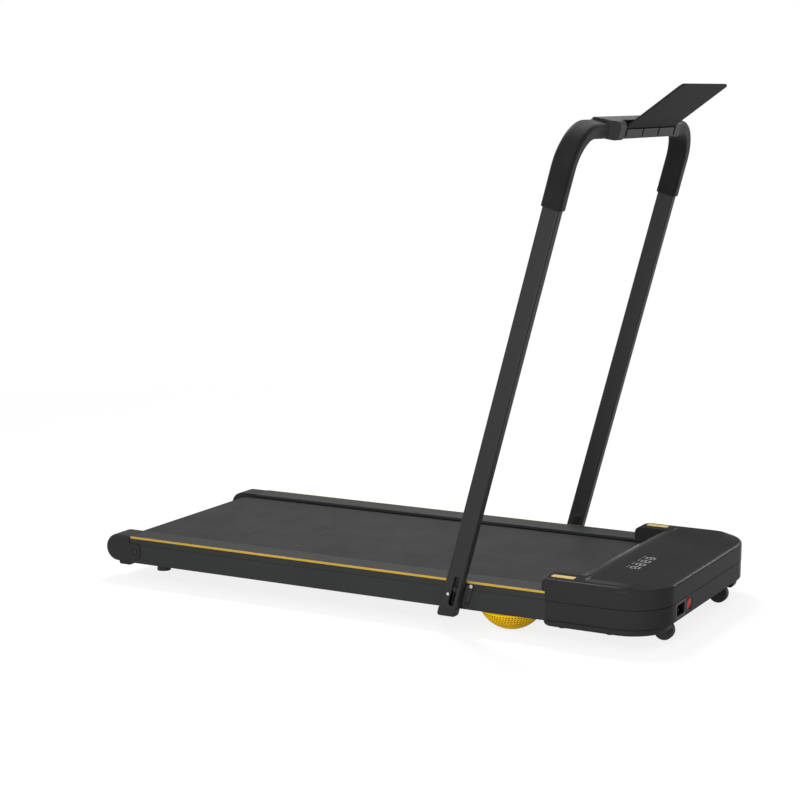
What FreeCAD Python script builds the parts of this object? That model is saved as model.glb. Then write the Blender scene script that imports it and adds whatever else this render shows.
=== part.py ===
import FreeCAD, Part
import math
import os

V = FreeCAD.Vector

# Walking pad, millimetres. +X is the walking direction, towards the motor hood, +Y is the walker's left
# and +Z is up. The origin lies on the floor, below the middle of the machine.

# Whole machine and shared clearances
length = 1212.0
cut = 2.0
seat_gap = 0.3
run_gap = 0.05
weld_gap = 0.02
screw_gap = 0.2

# Side rails, one aluminium profile on each side
rail_half = 265.0
rail_width = 54.0
rail_bottom = 39.0
rail_tall = 55.0
rail_wall = 2.5
rail_top_wall = 3.0
rail_flange_wall = 2.0
rail_flange = 20.0
rail_lip = 6.0
rail_edge = 2.0
rail_rear_inset = 61.0
rail_front_inset = 218.0
groove_wide = 1.4
groove_deep = 0.8

# Yellow trim strip, let into the outer top edge of each rail
strip_tall = 4.2
strip_thick = 1.0
strip_end = 2.0

# Frame tubes inside the rails, cross members between them and straps below
tube_wide = 25.0
tube_wall = 2.0
tube_front_inset = 106.0
tube_tail = 13.0
tube_end_wall = 3.0
member_long = 40.0
member_tall = 20.0
member_wall = 2.0
member_lift = 2.3
member_rear_inset = 115.0
member_front_inset = 58.0
strap_thick = 3.0
strap_overlap = 6.0
rear_strap_long = 34.0
dome_strap_long = 108.0

# Rollers and the walking belt
roller_drop = 29.3
roller_radius = 20.3
roller_wall = 3.0
roller_side_gap = 3.0
rear_axis_inset = 41.0
front_axis_inset = 178.0
axle_radius = 7.5
axle_inside = 6.0
axle_play = 3.0
bearing_wide = 11.0
belt_edge = 1.0
belt_thick = 1.7
belt_gap = 0.3

# Deck board, its cushions and screws
deck_side_gap = 5.5
deck_thick = 15.0
deck_rear_gap = 27.0
deck_front_gap = 30.0
cushion_radius = 14.0
cushion_inset = 18.0
deck_screw_radius = 3.0
deck_screw_head = 6.0
deck_screw_head_tall = 3.0

# Rear end caps with their screws, and the belt tension bolts
cap_proud = 0.4
cap_side_proud = 2.0
cap_wall = 2.0
cap_round = 9.0
cap_tail_long = 26.0
cap_tail_lift = 7.0
cap_tail_drop = 14.0
cap_tail_round = 9.0
cap_foot_long = 30.0
cap_foot_tall = 7.0
cap_foot_wide = 26.0
cap_foot_taper = 3.0
cap_screw_radius = 2.0
cap_screw_head = 4.2
cap_screw_head_tall = 1.4
cap_screw_long = 16.0
cap_screw_inset = 12.0
cap_pocket = 11.0
tension_radius = 4.0
tension_head = 6.5
tension_head_tall = 6.0
tension_past = 22.0
tension_access = 7.5

# Motor hood, lower case and belly pan
hood_side_proud = 2.0
hood_rise = 27.0
hood_seam_drop = 16.0
hood_wall = 3.0
hood_corner = 85.0
hood_round = 10.0
rim_drop = 3.0
panel_front_inset = 20.0
panel_rear_inset = 146.0
panel_side_inset = 27.0
panel_corner = 60.0
panel_rear_corner = 12.0
panel_skirt = 8.0
nose_run = 36.0
nose_slope = 12.0
nose_round = 7.0
nose_steps = 5
nose_clear = 0.2
seam_tall = 1.6
seam_deep = 1.4
wing_rear_inset = 232.0
wing_corner = 19.0
ramp_rear_step = 26.0
ramp_front_step = 96.0
ramp_drop = 2.0
hood_belt_gap = 3.0
case_inset = 0.6
case_round = 6.0
case_ledge = 20.0
case_ledge_thick = 2.5
pan_drop = 13.0
pan_inset = 8.0
pan_wall = 2.5
pan_round = 7.0
pan_rear_step = 1.0
pan_rear_corner = 20.0
pan_notch_side = 22.0
pan_notch_long = 60.0
pan_boss = 6.0
pan_screw_radius = 2.5
pan_screw_head = 6.0
pan_screw_head_tall = 2.6
pan_screw_inset = 20.0
pan_screw_insets = (194.0, 100.0)

# Yellow pads let into the tops of the hood's wings
pad_rear_step = 16.0
pad_long = 45.0
pad_wide = 15.0
pad_inset = 27.0
pad_thick = 2.2
pad_deep = 1.2
pad_round = 3.0

# Display window in the hood, on the walker's right, and the board below it
window_step = 14.0
window_long = 34.0
window_inset = 113.0
window_wide = 140.0
window_round = 5.0
display_tall = 7.0
display_margin = 6.0

# Front base plate with the motor, its drive and the control board
plate_rear_inset = 150.0
plate_front_inset = 16.0
plate_side_inset = 21.0
plate_thick = 3.0
plate_corner = 62.0
motor_inset = 71.0
motor_lift = 3.0
motor_radius = 34.0
motor_pulley_gap = 29.0
motor_long = 125.0
motor_wall = 3.0
armature_radius = 28.0
armature_margin = 8.0
shaft_radius = 6.0
shaft_stub = 8.0
pulley_tube_gap = 7.5
pulley_wide = 16.0
roller_pulley_radius = 26.0
motor_pulley_radius = 12.0
drive_belt_thick = 2.0
drive_belt_inset = 2.0
pulley_hub = 18.0
cradle_long = 50.0
cradle_tall = 17.0
cradle_inset = 20.0
board_step = 10.0
board_long = 96.0
board_inset = 75.0
board_wide = 150.0
board_thick = 1.6
spacer_radius = 4.0
spacer_tall = 6.0
spacer_inset = 8.0
sink_long = 40.0
sink_wide = 80.0
sink_tall = 26.0
sink_base = 6.0
sink_fins = 7
sink_fin_share = 0.45
sink_inset = 14.0
capacitor_radius = 11.0
capacitor_tall = 30.0
capacitor_inset = 18.0
capacitor_step = 28.0

# Mains inlet and rocker switch in the front wall
inlet_inset = 36.0
inlet_lift = 21.0
inlet_wide = 44.0
inlet_tall = 25.0
inlet_deep = 24.0
inlet_flange = 3.0
inlet_flange_thick = 1.2
inlet_wall = 2.0
inlet_round = 3.0
pin_wide = 4.0
pin_thick = 2.0
pin_step = 14.0
pin_drop = 4.0
pin_inside = 7.0
switch_step = 45.0
switch_lift = 22.0
switch_radius = 12.5
switch_flange = 1.5
switch_flange_thick = 1.5
switch_wall = 1.5
switch_deep = 14.0
rocker_tilt = 7.0
rocker_pin = 1.5
rocker_pin_bite = 1.0
rocker_back = 6.0
rocker_wide_share = 0.68
rocker_tall_share = 0.84
rocker_corner_share = 0.85

# Front wheels, rear feet and the dimpled yellow domes
wheel_inset = 30.0
wheel_side_inset = 115.0
wheel_radius = 19.0
wheel_wide = 17.0
wheel_edge = 3.0
wheel_axle_radius = 4.0
wheel_side_gap = 1.0
ear_thick = 2.5
ear_long = 26.0
ear_low = 11.0
axle_head = 6.0
axle_head_thick = 2.0
wheel_slot_gap = 3.0
foot_inset = 66.0
foot_side_inset = 112.0
foot_radius = 14.5
foot_top_radius = 12.0
dome_inset = 310.0
dome_side_inset = 52.0
dome_radius = 57.5
dome_rim = 4.0

# Folding handrail: uprights, bow, foam grips and console, laid out along the leaning tube
lean_angle = 15.0
post_foot_inset = 417.8
post_deep = 34.0
post_wide = 21.0
post_gap = 4.5
post_wall = 1.8
post_edge = 4.0
post_cut_lift = 6.0
post_joint_drop = 112.0
spigot_long = 60.0
spigot_wall = 1.6
bow_height = 962.0
bow_bend = 70.0
foam_thick = 3.5
foam_long = 142.0
slot_lift = 14.0
slot_long = 60.0
slot_wide = 11.0
slot_offset = 5.3
lift = 28.0
block_side_gap = 0.25
block_flange = 3.5
block_short = 5.0
pivot_radius = 4.0
pivot_head = 5.0
pivot_head_tall = 3.0
pivot_inside = 18.0
bracket_thick = 3.0
bracket_rear = -20.0
bracket_front = 30.0
bracket_lift = 7.0
bracket_drop = 7.0
bracket_bolt_radius = 2.5
bracket_bolt_head = 3.4
bracket_bolt_head_tall = 2.2
bracket_bolt_inside = 8.0
bracket_bolt_lifts = (21.0, 56.5)
bracket_bolt_inset = 4.0
plug_proud = 1.5
plug_side_proud = 0.4
plug_tall = 16.5
plug_round = 5.0
plug_inside = 4.0
rivet_radius = 2.6
rivet_tall = 1.1
rivet_shank = 1.6
rivet_inside = 4.0
rivet_lift = 20.7
rivet_offset = -5.1

# Console round the middle of the bow, and the tablet plate in its clip fingers
console_half = 170.0
console_taper = 16.0
console_front = 36.0
console_rear = 30.0
console_drop = 13.0
console_rise = 22.0
console_round = 3.5
console_back_lift = 6.0
console_back_drop = 18.0
console_back_run = 16.0
console_brow_drop = 3.0
console_nose_run = 7.0
console_nose_drop = 6.0
console_chin_run = 5.0
console_chin_lift = 3.0
hinge_forward = 23.0
hinge_rise = -1.0
barrel_radius = 3.6
finger_thick = 2.6
finger_gap = 6.0
finger_end_gap = 8.0
finger_count = 3
tablet_inset = 48.0
tablet_long = 146.0
tablet_thick = 4.0
tablet_round = 9.0
tablet_tilt = 39.0
hinge_pin = 2.5
pin_reach = 4.0
trough_gap = 0.8
trough_inset = 43.0
trough_lift = 4.0
trough_wall = 4.0

# Places worked out from the sizes above
front = length / 2
rail_rear = rail_rear_inset - front
rail_front = front - rail_front_inset
rail_top = rail_bottom + rail_tall
rail_inner = rail_half - rail_width
strip_bottom = rail_top - strip_tall
tube_outer = rail_half - rail_wall
tube_inner = tube_outer - tube_wide
tube_bottom = rail_bottom + rail_flange_wall
tube_top = rail_top - rail_top_wall
tube_front = front - tube_front_inset
roller_height = rail_top - roller_drop
roller_half = rail_inner - roller_side_gap
rear_axis = rear_axis_inset - front
front_axis = front - front_axis_inset
belt_half = roller_half - belt_edge
belt_inside = roller_radius + belt_gap
belt_outside = belt_inside + belt_thick
deck_top = roller_height + roller_radius
deck_bottom = deck_top - deck_thick
deck_half = tube_inner - deck_side_gap
deck_rear = rear_axis + deck_rear_gap
deck_front = front_axis - deck_front_gap
member_bottom = roller_height - belt_inside + member_lift
member_top = member_bottom + member_tall
member_rear = rail_rear + member_rear_inset
member_front = rail_front - member_front_inset
member_places = (member_rear, (member_rear + member_front) / 2, member_front)
strap_bottom = tube_bottom - strap_thick
plate_bottom = tube_bottom - plate_thick
hood_half = rail_half + hood_side_proud
hood_top = rail_top + hood_rise
hood_seam = rail_top - hood_seam_drop
rim_top = hood_top - rim_drop
wing_rear = front - wing_rear_inset
ramp_rear = wing_rear + ramp_rear_step
ramp_front = wing_rear + ramp_front_step
ramp_low = rail_top - ramp_drop
pad_rear = wing_rear + pad_rear_step
window_rear = ramp_front + window_step
window_right = window_inset - hood_half
case_front = front - case_inset
wheel_axis = front - wheel_inset
wheel_middle = rail_half - wheel_side_inset
pan_bottom = rail_bottom - pan_drop
pan_rear = wing_rear + pan_rear_step
pan_notch_half = wheel_middle + pan_notch_side
pan_notch_rear = wheel_axis - pan_notch_long
plate_rear = front - plate_rear_inset
plate_front = front - plate_front_inset
plate_half = rail_half - plate_side_inset
pulley_inner = tube_inner - pulley_tube_gap - pulley_wide
motor_inner = pulley_inner - motor_pulley_gap - motor_long
motor_axis = front - motor_inset
motor_height = tube_bottom + motor_radius + motor_lift
board_rear = plate_rear + board_step
board_right = board_inset - rail_half
inlet_middle = inlet_inset + hood_corner - hood_half
inlet_height = rail_bottom + inlet_lift
switch_middle = inlet_middle + switch_step
switch_height = rail_bottom + switch_lift
foot_place = foot_inset - front
foot_middle = rail_half - foot_side_inset
dome_place = front - dome_inset
dome_middle = rail_half - dome_side_inset
post_foot = front - post_foot_inset
post_cut = rail_bottom + post_cut_lift
bracket_face = rail_half + bracket_thick
bracket_low = rail_bottom + bracket_lift
bracket_high = rail_top - bracket_drop
post_outer = bracket_face + post_gap + post_wide
post_middle = post_outer - post_wide / 2
post_inner = post_outer - post_wide
post_joint = bow_height - post_joint_drop
foam_start = bow_height - foam_long
slot_low = rail_bottom + slot_lift
slot_high = slot_low + slot_long
rivet_place = slot_low + rivet_lift
bracket_bolt_places = [rail_bottom + step for step in bracket_bolt_lifts]
block_high = slot_high - seat_gap
block_low = slot_low + seat_gap + lift
block_wide = slot_wide - 2 * block_side_gap
pivot_height = block_low + block_wide / 2
console_low = bow_height - console_drop
console_high = bow_height + console_rise
hinge_height = bow_height + hinge_rise
tablet_half = console_half - tablet_inset
near = 1e-4

nodes = {}


# Shapes that the pieces are made from
def box(x0, x1, y0, y1, z0, z1):
    return Part.makeBox(x1 - x0, y1 - y0, z1 - z0, V(x0, y0, z0))


def rod_x(radius, x0, x1, y, z):
    return Part.makeCylinder(radius, x1 - x0, V(x0, y, z), V(1, 0, 0))


def rod_y(radius, y0, y1, x, z):
    return Part.makeCylinder(radius, y1 - y0, V(x, y0, z), V(0, 1, 0))


def rod_z(radius, z0, z1, x, y):
    return Part.makeCylinder(radius, z1 - z0, V(x, y, z0), V(0, 0, 1))


def joined(shapes):
    return shapes[0].fuse(shapes[1:]).removeSplitter()


def mirrored(shape):
    return shape.mirror(V(0, 0, 0), V(0, 1, 0))


def rounded(shape, radius, chosen):
    return shape.makeFillet(radius, [edge for edge in shape.Edges if chosen(edge.BoundBox)])


def along_x(b):
    return b.YLength < near and b.ZLength < near


def along_y(b):
    return b.XLength < near and b.ZLength < near


def upright_edge(b):
    return b.XLength < near and b.YLength < near


def at(low, high, place):
    return abs(low - place) < near and abs(high - place) < near


def prism_y(points, y0, y1):
    """A flat outline of (x, z) points, drawn out from y0 to y1."""
    corners = [V(x, y0, z) for x, z in points]
    outline = Part.makePolygon(corners + corners[:1])
    return Part.Face(outline).extrude(V(0, y1 - y0, 0))


def plan(x0, x1, half, rear_corner, front_corner, z0, z1):
    """A block with its upright edges rounded."""
    block = box(x0, x1, -half, half, z0, z1)
    block = rounded(block, front_corner, lambda b: upright_edge(b) and at(b.XMin, b.XMax, x1))
    return rounded(block, rear_corner, lambda b: upright_edge(b) and at(b.XMin, b.XMax, x0))


def loop(rear, rear_radius, front_end, front_radius, y0, y1):
    """The solid inside a belt line round two pulleys, each given as an (x, z) centre."""
    dx = front_end[0] - rear[0]
    dz = front_end[1] - rear[1]
    span = math.hypot(dx, dz)
    slope = math.atan2(dz, dx)
    wrap = math.acos((rear_radius - front_radius) / span)
    corners = []
    for turn in (slope + wrap, slope - wrap):
        side = (math.cos(turn), math.sin(turn))
        ends = [(rear[0] + rear_radius * side[0], rear[1] + rear_radius * side[1])]
        ends.append((front_end[0] + front_radius * side[0], front_end[1] + front_radius * side[1]))
        corners += ends if not corners else ends[::-1]
    ends = [rod_y(rear_radius, y0, y1, *rear), rod_y(front_radius, y0, y1, *front_end)]
    return joined([prism_y(corners, y0, y1)] + ends)


def belt(rear, rear_radius, front_end, front_radius, thick, y0, y1):
    outside = loop(rear, rear_radius + thick, front_end, front_radius + thick, y0, y1)
    return outside.cut(loop(rear, rear_radius, front_end, front_radius, y0 - cut, y1 + cut))


def keep(name, *solids):
    nodes[name] = list(solids)


def keep_pair(name, left):
    keep(name, left, mirrored(left))


def keep_sides(name, left):
    keep(name + "_left", left)
    keep(name + "_right", mirrored(left))


def lean(shape):
    """Carries a piece drawn along the upright tube, x forward of it and z up it, to its leaning place."""
    placed = shape.copy()
    placed.rotate(V(0, 0, 0), V(0, 1, 0), lean_angle)
    placed.translate(V(post_foot, 0, 0))
    return placed


# Frame tubes, with holes for the axles, the pivots and the bracket and cap fasteners
def axle_hole(x):
    """Room for an axle end in the inner wall of a frame tube."""
    return rod_y(axle_radius + run_gap, tube_inner - cut, tube_inner + tube_wall + cut, x, roller_height)


def axle_slot(x):
    """The same room, drawn out along X so that the belt can be tightened."""
    radius = axle_radius + run_gap
    slot = box(x - axle_play, x + axle_play, tube_inner - cut, tube_inner + tube_wall + cut,
               roller_height - radius, roller_height + radius)
    return joined([slot, axle_hole(x - axle_play), axle_hole(x + axle_play)])


def outside_holes(clear):
    """Holes through the outer side wall for the handrail pivot, the bracket bolts and the cap screw."""
    inner = tube_inner + tube_wall + cut
    outer = rail_half + cut
    holes = [lean(rod_y(pivot_radius + clear, inner, outer, slot_offset, pivot_height))]
    for height in bracket_bolt_places:
        holes.append(lean(rod_y(bracket_bolt_radius + clear, inner, outer, bracket_bolt_x, height)))
    holes.append(rod_y(cap_screw_radius + clear, inner, outer, cap_screw_x, cap_screw_z))
    return holes


cap_tail_end = rail_rear + cap_tail_long
cap_tail_low = rail_bottom + cap_tail_lift
cap_tail_high = rail_top - cap_tail_drop
cap_screw_x = cap_tail_end - cap_screw_inset
cap_screw_z = (cap_tail_low + cap_tail_high) / 2
bracket_bolt_x = bracket_front - bracket_bolt_inset


def frame_tube():
    rear = rear_axis - tube_tail
    tube = box(rear, tube_front, tube_inner, tube_outer, tube_bottom, tube_top)
    hollow = box(rear + tube_end_wall, tube_front + cut, tube_inner + tube_wall, tube_outer - tube_wall,
                 tube_bottom + tube_wall, tube_top - tube_wall)
    middle = (tube_inner + tube_outer) / 2
    end = rear + tube_end_wall
    bolt_hole = rod_x(tension_radius + screw_gap, rear - cut, end + cut, middle, roller_height)
    axle_ends = [axle_slot(rear_axis), axle_hole(front_axis)]
    return tube.cut([hollow, bolt_hole] + axle_ends + outside_holes(screw_gap))


def cross_member(x):
    def shell(inset, reach):
        half = member_long / 2 - inset
        return box(x - half, x + half, -tube_inner - reach, tube_inner + reach,
                   member_bottom + inset, member_top - inset)

    under = member_top - member_wall
    screws = [rod_z(deck_screw_radius + screw_gap, under - cut, member_top + cut, x, side * screw_y)
              for side in (-1, 1)]
    return shell(0, 0).cut([shell(member_wall, cut)] + screws)


screw_y = deck_half - cushion_inset


def strap(x, long):
    half = tube_inner + strap_overlap
    return box(x - long / 2, x + long / 2, -half, half, strap_bottom, tube_bottom)


keep_pair("frame_tubes", frame_tube())
keep("frame_cross_members", *[cross_member(x) for x in member_places])
keep("belly_straps", strap(foot_place, rear_strap_long), strap(dome_place, dome_strap_long))


# Side rails and their trim strips
def rail():
    outer = box(rail_rear, rail_front, rail_half - rail_wall, rail_half, rail_bottom, rail_top)
    top = box(rail_rear, rail_front, rail_inner, rail_half, rail_top - rail_top_wall, rail_top)
    lip = box(rail_rear, rail_front, rail_inner, rail_inner + rail_wall, rail_top - rail_lip, rail_top)
    flange = box(rail_rear, rail_front, rail_half - rail_flange, rail_half, rail_bottom, tube_bottom)
    body = joined([outer, top, lip, flange])
    body = rounded(body, rail_edge, lambda b: along_x(b) and at(b.ZMin, b.ZMax, rail_top))
    groove = box(rail_rear - cut, rail_front + cut, rail_half - groove_deep, rail_half + cut,
                 hood_seam - groove_wide / 2, hood_seam + groove_wide / 2)
    return body.cut([groove, strip()] + outside_holes(screw_gap))


def strip():
    return box(rail_rear + strip_end, rail_front - strip_end, rail_half - strip_thick, rail_half,
               strip_bottom, rail_top)


keep_sides("side_rail", rail())
keep_pair("rail_trim_strips", strip())


# Deck board on rubber cushions, held by countersunk screws under the rails
def deck_screw(x, y):
    neck = deck_top - deck_screw_head_tall
    head = Part.makeCone(deck_screw_radius, deck_screw_head, deck_screw_head_tall, V(x, y, neck))
    shank = rod_z(deck_screw_radius, member_top - member_wall - deck_screw_head_tall, neck, x, y)
    return joined([head, shank])


def screw_places():
    return [(x, side * screw_y) for x in member_places for side in (-1, 1)]


def deck():
    board = box(deck_rear, deck_front, -deck_half, deck_half, deck_bottom, deck_top)
    holes = []
    for x, y in screw_places():
        neck = deck_top - deck_screw_head_tall
        grow = screw_gap
        holes.append(Part.makeCone(deck_screw_radius + grow, deck_screw_head + grow, deck_screw_head_tall,
                                   V(x, y, neck)))
        holes.append(rod_z(deck_screw_radius + grow, deck_bottom - cut, deck_top, x, y))
    return board.cut(holes)


def cushion(x, y):
    hole = rod_z(deck_screw_radius + screw_gap, member_top - cut, deck_bottom + cut, x, y)
    return rod_z(cushion_radius, member_top, deck_bottom, x, y).cut(hole)


keep("deck_board", deck())
keep("deck_cushions", *[cushion(x, y) for x, y in screw_places()])
keep("deck_screws", *[deck_screw(x, y) for x, y in screw_places()])


# Walking belt, its rollers, axles and bearings
rear_centre = (rear_axis, roller_height)
front_centre = (front_axis, roller_height)
bearing_outer = roller_radius - roller_wall - weld_gap


def roller(x):
    tube = rod_y(roller_radius, -roller_half, roller_half, x, roller_height)
    reach = roller_half + cut
    return tube.cut(rod_y(roller_radius - roller_wall, -reach, reach, x, roller_height))


def axle(x):
    reach = tube_outer - tube_wall - axle_inside
    return rod_y(axle_radius, -reach, reach, x, roller_height)


def bearing(x):
    inner = roller_half - bearing_wide
    ring = rod_y(bearing_outer, inner, roller_half, x, roller_height)
    return ring.cut(rod_y(axle_radius + run_gap, inner - cut, roller_half + cut, x, roller_height))


def rear_axle():
    middle = (tube_inner + tube_outer) / 2
    holes = [rod_x(tension_radius + screw_gap, rear_axis - axle_radius - cut, rear_axis + axle_radius + cut,
                   side * middle, roller_height) for side in (-1, 1)]
    return axle(rear_axis).cut(holes)


def tension_bolt():
    seat = rear_axis - tube_tail
    middle = (tube_inner + tube_outer) / 2
    head = rod_x(tension_head, seat - tension_head_tall, seat, middle, roller_height)
    shank = rod_x(tension_radius, seat, rear_axis + tension_past, middle, roller_height)
    return joined([head, shank])


keep("walking_belt",
     belt(rear_centre, belt_inside, front_centre, belt_inside, belt_thick, -belt_half, belt_half))
keep("front_roller", roller(front_axis))
keep("front_roller_axle", axle(front_axis))
keep_pair("front_roller_bearings", bearing(front_axis))
keep("rear_roller", roller(rear_axis))
keep("rear_roller_axle", rear_axle())
keep_pair("rear_roller_bearings", bearing(rear_axis))
keep_pair("belt_tension_bolts", tension_bolt())


# Rear end caps
def cap():
    low = rail_bottom - cap_proud
    high = rail_top + cap_proud
    outer = rail_half + cap_side_proud
    radius = (high - low) / 2
    middle = (high + low) / 2
    nose = -front + radius

    def shell(inset, inner, outside, end):
        block = box(nose, end, inner, outside, low + inset, high - inset)
        return joined([block, rod_y(radius - inset, inner, outside, nose, middle)])

    body = shell(0, rail_inner, outer, rail_rear)
    body = rounded(body, cap_round,
                   lambda b: at(b.YMin, b.YMax, outer) and not at(b.XMin, b.XMax, rail_rear))
    tail = box(rail_rear - cap_tail_round, cap_tail_end, rail_half, outer, cap_tail_low, cap_tail_high)
    tail = rounded(tail, cap_tail_round, lambda b: along_y(b) and at(b.XMin, b.XMax, cap_tail_end))
    foot_inner = outer - cap_round - cap_foot_wide
    foot = prism_y([(nose, low + cap_proud), (nose + cap_foot_taper, low - cap_foot_tall),
                    (nose + cap_foot_long - cap_foot_taper, low - cap_foot_tall),
                    (nose + cap_foot_long, low + cap_proud)], foot_inner, foot_inner + cap_foot_wide)
    hollow = shell(cap_wall, rail_inner + cap_wall, rail_half - rail_wall, rail_rear + cut)
    axle_room = rod_y(axle_radius + seat_gap, rail_inner - cut, rail_inner + cap_wall + cut,
                      rear_axis, roller_height)
    access = rod_x(tension_access, -front - cut, nose, (tube_inner + tube_outer) / 2, roller_height)
    pocket = box(cap_screw_x - cap_pocket / 2, cap_screw_x + cap_pocket / 2,
                 outer - cap_screw_head_tall, outer + cut,
                 cap_screw_z - cap_pocket / 2, cap_screw_z + cap_pocket / 2)
    hole = rod_y(cap_screw_radius + screw_gap, rail_half - cut, outer + cut, cap_screw_x, cap_screw_z)
    strap_room = box(foot_place - rear_strap_long / 2 - seat_gap, rail_rear + cut, rail_inner - cut,
                     tube_inner + strap_overlap + seat_gap, strap_bottom - seat_gap, tube_bottom)
    return joined([body, tail, foot]).cut([hollow, axle_room, access, pocket, hole, strap_room])


def cap_screw():
    seat = rail_half + cap_side_proud - cap_screw_head_tall
    head = rod_y(cap_screw_head, seat, seat + cap_screw_head_tall, cap_screw_x, cap_screw_z)
    shank = rod_y(cap_screw_radius, seat - cap_screw_long, seat, cap_screw_x, cap_screw_z)
    return joined([head, shank])


keep_sides("rear_cap", cap())
keep_pair("rear_cap_screws", cap_screw())


# Motor hood
def ramp_cut(inset):
    """What is cut away between the wings: a rounded ramp from the belt up to the hood's top."""
    high = hood_top - inset
    rise = hood_top - ramp_low
    run = ramp_front - ramp_rear
    radius = (run * run + rise * rise) / (2 * rise)
    centre = (ramp_front, hood_top - radius)
    half = rail_inner + inset
    arc_radius = radius - inset
    low = V(ramp_rear + inset, 0, centre[1] + math.sqrt(arc_radius ** 2 - (run - inset) ** 2))
    top = V(ramp_front, 0, high)
    turn = (math.pi / 2 + math.atan2(low.z - centre[1], low.x - centre[0])) / 2
    bend = V(centre[0] + arc_radius * math.cos(turn), 0, centre[1] + arc_radius * math.sin(turn))
    over = hood_top + cut
    under = hood_seam - 2 * cut
    corners = [top, V(ramp_front, 0, over), V(wing_rear - cut, 0, over),
               V(wing_rear - cut, 0, under), V(ramp_rear + inset, 0, under), low]
    edges = [Part.LineSegment(a, b).toShape() for a, b in zip(corners, corners[1:])]
    edges.append(Part.Arc(low, bend, top).toShape())
    face = Part.Face(Part.Wire(edges))
    face.translate(V(0, -half, 0))
    return face.extrude(V(0, 2 * half, 0))


def top_outline(block, z):
    """The line round a block's top face, at height z."""
    return [face for face in block.Faces if at(face.BoundBox.ZMin, face.BoundBox.ZMax, z)][0].OuterWire


def panel_block(inset):
    """The raised panel on the hood's top, with a sloping skirt down to the rim."""
    def outline(grow, z):
        block = plan(front - panel_rear_inset - grow, front - panel_front_inset + grow,
                     hood_half - panel_side_inset + grow, panel_rear_corner + grow, panel_corner + grow,
                     hood_seam, z)
        return top_outline(block, z)

    wires = [outline(panel_skirt - inset, rim_top - inset), outline(-inset, hood_top - inset)]
    return Part.makeLoft(wires, True, True)


def nose_cut(inset):
    """What a slope down to a rounded crest takes off the hood's front, dying out round the corners."""
    def outline(back, z):
        block = plan(wing_rear, front + nose_clear - inset - back, hood_half + nose_clear - inset,
                     wing_corner, hood_corner - inset, hood_seam, z - inset)
        return top_outline(block, z - inset)

    slope = math.radians(nose_slope)
    slope_foot = nose_round * (1 - math.sin(slope))
    crest_low = hood_top - (nose_run - slope_foot) * math.tan(slope) - nose_round * math.cos(slope)
    turns = [(math.pi / 2 - slope) * i / nose_steps for i in range(nose_steps + 1)]
    steps = [(nose_round * (1 - math.cos(t)), crest_low + nose_round * math.sin(t)) for t in turns]
    steps.append((nose_run, hood_top))
    kept = Part.makeLoft([outline(back, z) for back, z in steps], True, True)
    return box(ramp_front, front + cut, -front, front, crest_low - inset, hood_top + cut).cut(kept)


def hood_block(inset, drop):
    block = plan(wing_rear + inset, front - inset, hood_half - inset, wing_corner - inset,
                 hood_corner - inset, hood_seam - drop, rim_top - inset)
    block = rounded(block, hood_round - inset, lambda b: at(b.ZMin, b.ZMax, rim_top - inset))
    half = rail_inner + inset
    ramp = box(ramp_rear + inset, ramp_front, -half, half, hood_seam, hood_top - inset)
    return joined([block, panel_block(inset), ramp]).cut([ramp_cut(inset), nose_cut(inset)])


def pad_block(low, high, grow):
    outer = hood_half - pad_inset + pad_wide / 2
    pad = box(pad_rear - grow, pad_rear + pad_long + grow, outer - pad_wide - grow, outer + grow, low, high)
    return rounded(pad, pad_round, upright_edge)


def window_block(grow):
    window = box(window_rear - grow, window_rear + window_long + grow, window_right - grow,
                 window_right + window_wide + grow, hood_top - hood_wall, hood_top)
    return rounded(window, window_round, upright_edge)


def hood():
    shell = hood_block(0, 0).cut(hood_block(hood_wall, cut))
    over_rails = box(wing_rear - cut, rail_front, -hood_half - cut, hood_half + cut,
                     hood_seam - cut, rail_top)
    mouth_half = rail_inner + hood_wall + seat_gap
    mouth = box(wing_rear - cut, ramp_front, -mouth_half, mouth_half, hood_seam - cut,
                roller_height + belt_outside + hood_belt_gap)
    bed = pad_block(rim_top - pad_deep, rim_top + cut, seat_gap)
    return shell.cut([over_rails, mouth, bed, mirrored(bed), window_block(run_gap)])


def display_board():
    return box(window_rear - display_margin, window_rear + window_long + display_margin,
               window_right - display_margin, window_right + window_wide + display_margin,
               hood_top - hood_wall - display_tall, hood_top - hood_wall)


keep("hood_cover", hood())
keep_pair("hood_pads", pad_block(rim_top - pad_deep, rim_top - pad_deep + pad_thick, 0))
keep("display_window", window_block(0))
keep("display_board", display_board())


# Lower case round the motor, with openings for the inlet and the switch
def case_block(inset, rear, low, high):
    outline = plan(rear - hood_corner, case_front - inset, hood_half - case_inset - inset, case_round,
                   hood_corner - case_inset - inset, low, high)
    return outline.common(box(rear, front + cut, -front, front, low, high))


def inlet_block(grow, x0, x1):
    block = box(x0, x1, inlet_middle - inlet_wide / 2 - grow, inlet_middle + inlet_wide / 2 + grow,
                inlet_height - inlet_tall / 2 - grow, inlet_height + inlet_tall / 2 + grow)
    return rounded(block, inlet_round, along_x)


def switch_round(radius, x0, x1):
    return rod_x(radius, x0, x1, switch_middle, switch_height)


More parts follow.
